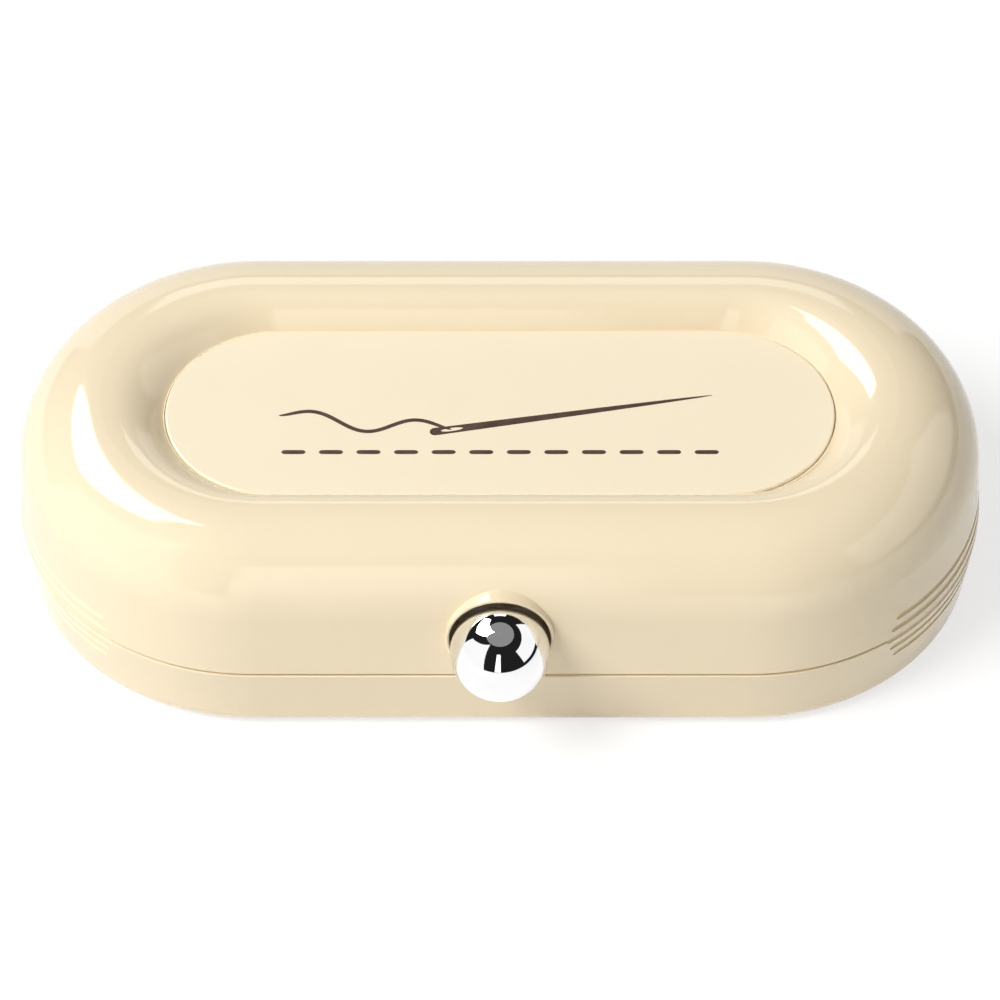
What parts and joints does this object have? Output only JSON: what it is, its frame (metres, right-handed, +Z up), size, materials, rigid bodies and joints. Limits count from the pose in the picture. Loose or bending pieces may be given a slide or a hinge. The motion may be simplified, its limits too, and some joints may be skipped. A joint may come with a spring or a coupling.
{
  "type": "sewing box",
  "caption": "Pill-shaped hinged sewing box with a dished lid, a push-ball latch, grip grooves at its ends and a fitted tray of sewing things.",
  "frame": {"origin": "centre of the flat bottom face", "axes": "+X along the length of the box, -Y towards the ball latch, +Z up"},
  "size_m": [0.1822, 0.1085, 0.045],
  "materials": {
    "case_cream": "polished moulded plastic",
    "panel_cream": "smooth satin plastic",
    "ball_chrome": "mirror chrome plate",
    "latch_steel": "bright zinc-plated steel",
    "tray_ivory": "fine matte moulded plastic",
    "spool_white": "smooth moulded plastic",
    "thimble_nickel": "dimpled nickel plate",
    "cushion_red": "woven cotton",
    "pin_steel": "polished steel with beaded heads",
    "magnet_black": "matte magnet strip",
    "button_shell": "polished four-hole buttons",
    "thread_1": "wound cotton thread",
    "thread_2": "wound cotton thread",
    "thread_3": "wound cotton thread",
    "thread_4": "wound cotton thread",
    "thread_5": "wound cotton thread",
    "thread_6": "wound cotton thread"
  },
  "bodies": {
    "base": {"base_shell": "case_cream", "insert_tray": "tray_ivory", "tool_tub": "tray_ivory", "button_cup": "tray_ivory", "cushion_cup": "tray_ivory", "spool_pegs": "tray_ivory", "thimble_post": "tray_ivory", "hinge_pin_left": "latch_steel", "hinge_pin_right": "latch_steel", "thimble": "thimble_nickel", "pincushion": "cushion_red", "pincushion_pins": "pin_steel", "needle_magnet": "magnet_black", "needles": "pin_steel", "buttons": "button_shell"},
    "lid": {"lid_shell": "case_cream", "lid_panel": "panel_cream", "latch_spring": "latch_steel"},
    "latch": {"latch_ball": "ball_chrome", "latch_plunger": "latch_steel", "latch_hook": "latch_steel", "latch_clip": "latch_steel"},
    "spool_1": {"spool_1": "spool_white", "thread_1": "thread_1"},
    "spool_2": {"spool_2": "spool_white", "thread_2": "thread_2"},
    "spool_3": {"spool_3": "spool_white", "thread_3": "thread_3"},
    "spool_4": {"spool_4": "spool_white", "thread_4": "thread_4"},
    "spool_5": {"spool_5": "spool_white", "thread_5": "thread_5"},
    "spool_6": {"spool_6": "spool_white", "thread_6": "thread_6"}
  },
  "joints": [
    {"name": "lid_hinge", "type": "hinge", "parent": "base", "child": "lid", "pos_m": [0, 0.04808, 0.016], "axis": [-1, 0, 0], "range_deg": [0, 110]},
    {"name": "latch_press", "type": "slide", "parent": "lid", "child": "latch", "axis": [0, 1, 0], "range_m": [0, 0.003], "stiffness_N_per_m": 600, "springref_m": -0.004, "deforming": ["latch_spring"]},
    {"name": "spool_1_spin", "type": "hinge", "parent": "base", "child": "spool_1", "pos_m": [-0.05, 0.0256, 0.016], "axis": [0, 0, 1], "continuous": true},
    {"name": "spool_2_spin", "type": "hinge", "parent": "base", "child": "spool_2", "pos_m": [-0.03, 0.0256, 0.016], "axis": [0, 0, 1], "continuous": true},
    {"name": "spool_3_spin", "type": "hinge", "parent": "base", "child": "spool_3", "pos_m": [-0.01, 0.0256, 0.016], "axis": [0, 0, 1], "continuous": true},
    {"name": "spool_4_spin", "type": "hinge", "parent": "base", "child": "spool_4", "pos_m": [0.01, 0.0256, 0.016], "axis": [0, 0, 1], "continuous": true},
    {"name": "spool_5_spin", "type": "hinge", "parent": "base", "child": "spool_5", "pos_m": [0.03, 0.0256, 0.016], "axis": [0, 0, 1], "continuous": true},
    {"name": "spool_6_spin", "type": "hinge", "parent": "base", "child": "spool_6", "pos_m": [0.05, 0.0256, 0.016], "axis": [0, 0, 1], "continuous": true}
  ]
}
